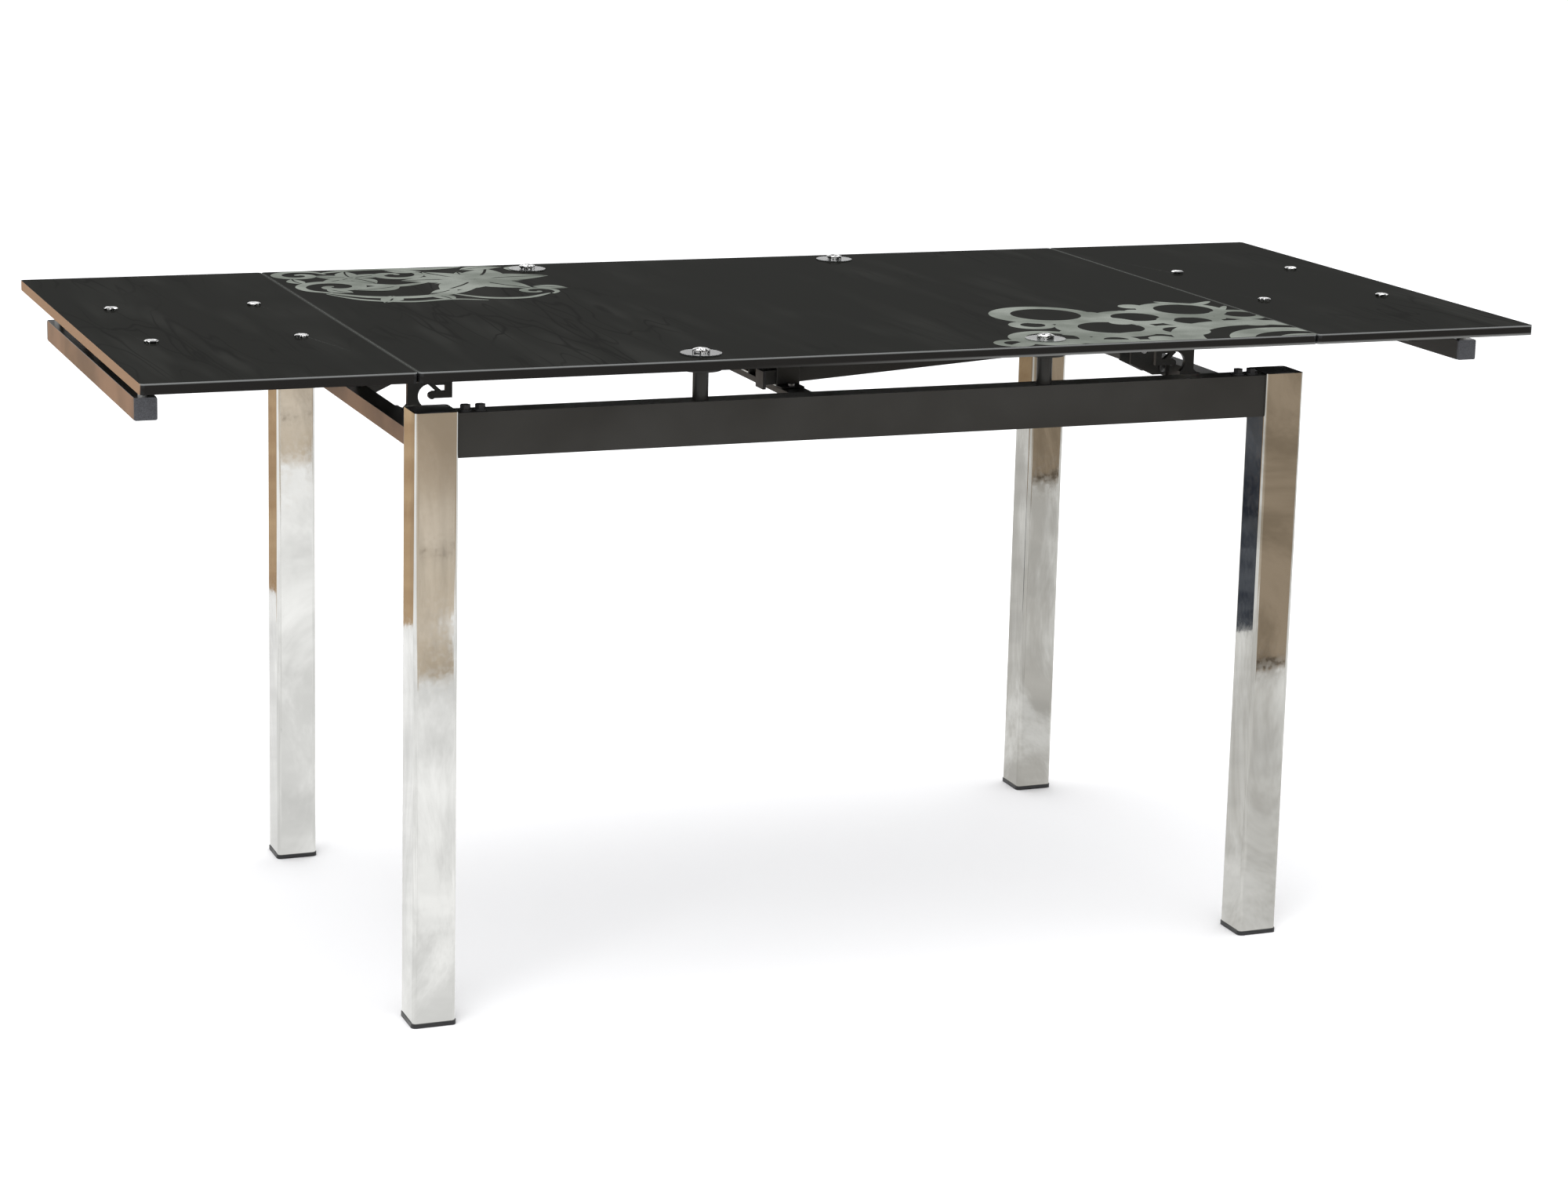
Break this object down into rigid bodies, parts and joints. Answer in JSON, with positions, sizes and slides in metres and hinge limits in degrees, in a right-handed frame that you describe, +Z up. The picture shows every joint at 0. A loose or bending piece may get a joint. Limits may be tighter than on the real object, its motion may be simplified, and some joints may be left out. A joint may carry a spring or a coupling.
{
  "type": "extendable dining table",
  "caption": "Rectangular glass dining table on square tube legs, with a draw leaf at each end that slides in and sinks under the centre panel.",
  "frame": {"origin": "on the floor, below the middle of the extended top", "axes": "+X along the table towards the right leaf, +Y across it to the back, +Z up"},
  "size_m": [1.7, 0.74, 0.7572],
  "materials": {
    "black_glass": "polished, back painted black",
    "chrome": "polished",
    "black_paint": "satin powder coat",
    "black_plastic": "matte",
    "clear_plastic": "clear",
    "zinc_steel": "zinc plated",
    "nylon": "satin"
  },
  "bodies": {
    "frame": {"leg_front_left": "chrome", "leg_front_right": "chrome", "leg_back_left": "chrome", "leg_back_right": "chrome", "leg_plug_front_left": "black_plastic", "leg_plug_front_right": "black_plastic", "leg_plug_back_left": "black_plastic", "leg_plug_back_right": "black_plastic", "foot_front_left": "black_plastic", "foot_front_right": "black_plastic", "foot_back_left": "black_plastic", "foot_back_right": "black_plastic", "front_apron": "black_paint", "back_apron": "black_paint", "left_apron": "black_paint", "right_apron": "black_paint", "cross_beam": "black_paint", "bracket_front_left": "black_paint", "bracket_front_right": "black_paint", "bracket_back_left": "black_paint", "bracket_back_right": "black_paint", "roller_forks": "black_paint", "roller_axles": "zinc_steel", "bearer_guide": "black_paint", "slide_pads": "nylon", "apron_bolts": "black_plastic", "bracket_screws": "zinc_steel"},
    "centre_top": {"centre_glass": "black_glass", "post_front_left": "black_paint", "post_front_right": "black_paint", "post_back_left": "black_paint", "post_back_right": "black_paint", "post_bolts": "chrome", "post_washers": "clear_plastic"},
    "left_leaf": {"left_leaf_glass": "black_glass", "left_bearer": "black_paint", "left_bearer_plug": "black_plastic", "left_end_bar": "black_paint", "left_end_caps": "black_plastic", "left_rails": "black_paint", "left_glides": "nylon", "left_straps": "black_paint", "left_fixings": "chrome", "left_washers": "clear_plastic", "left_spacers": "chrome", "left_packers": "black_plastic"},
    "right_leaf": {"right_leaf_glass": "black_glass", "right_bearer": "black_paint", "right_bearer_plug": "black_plastic", "right_end_bar": "black_paint", "right_end_caps": "black_plastic", "right_rails": "black_paint", "right_glides": "nylon", "right_straps": "black_paint", "right_fixings": "chrome", "right_washers": "clear_plastic", "right_spacers": "chrome", "right_packers": "black_plastic"},
    "left_roller": {"left_roller": "nylon"},
    "right_roller": {"right_roller": "nylon"}
  },
  "joints": [
    {"name": "centre_top_lift", "type": "slide", "parent": "frame", "child": "centre_top", "axis": [0, 0, 1], "range_m": [0, 0.018]},
    {"name": "left_leaf_slide", "type": "slide", "parent": "frame", "child": "left_leaf", "axis": [-0.9978, 0, 0.0665], "range_m": [0, 0.012]},
    {"name": "right_leaf_slide", "type": "slide", "parent": "frame", "child": "right_leaf", "axis": [0.9978, 0, 0.0665], "range_m": [0, 0.012]},
    {"name": "left_roller_spin", "type": "hinge", "parent": "frame", "child": "left_roller", "pos_m": [-0.482, 0.055, 0.68181], "axis": [0, 1, 0], "range_deg": [-81.4, 5]},
    {"name": "right_roller_spin", "type": "hinge", "parent": "frame", "child": "right_roller", "pos_m": [0.482, -0.04, 0.68181], "axis": [0, 1, 0], "range_deg": [-5, 81.4]}
  ],
  "couplings": [
    {"joint": "left_roller_spin", "follows": "left_leaf_slide", "rad_per_m": -111.11},
    {"joint": "right_roller_spin", "follows": "right_leaf_slide", "rad_per_m": 111.11}
  ]
}
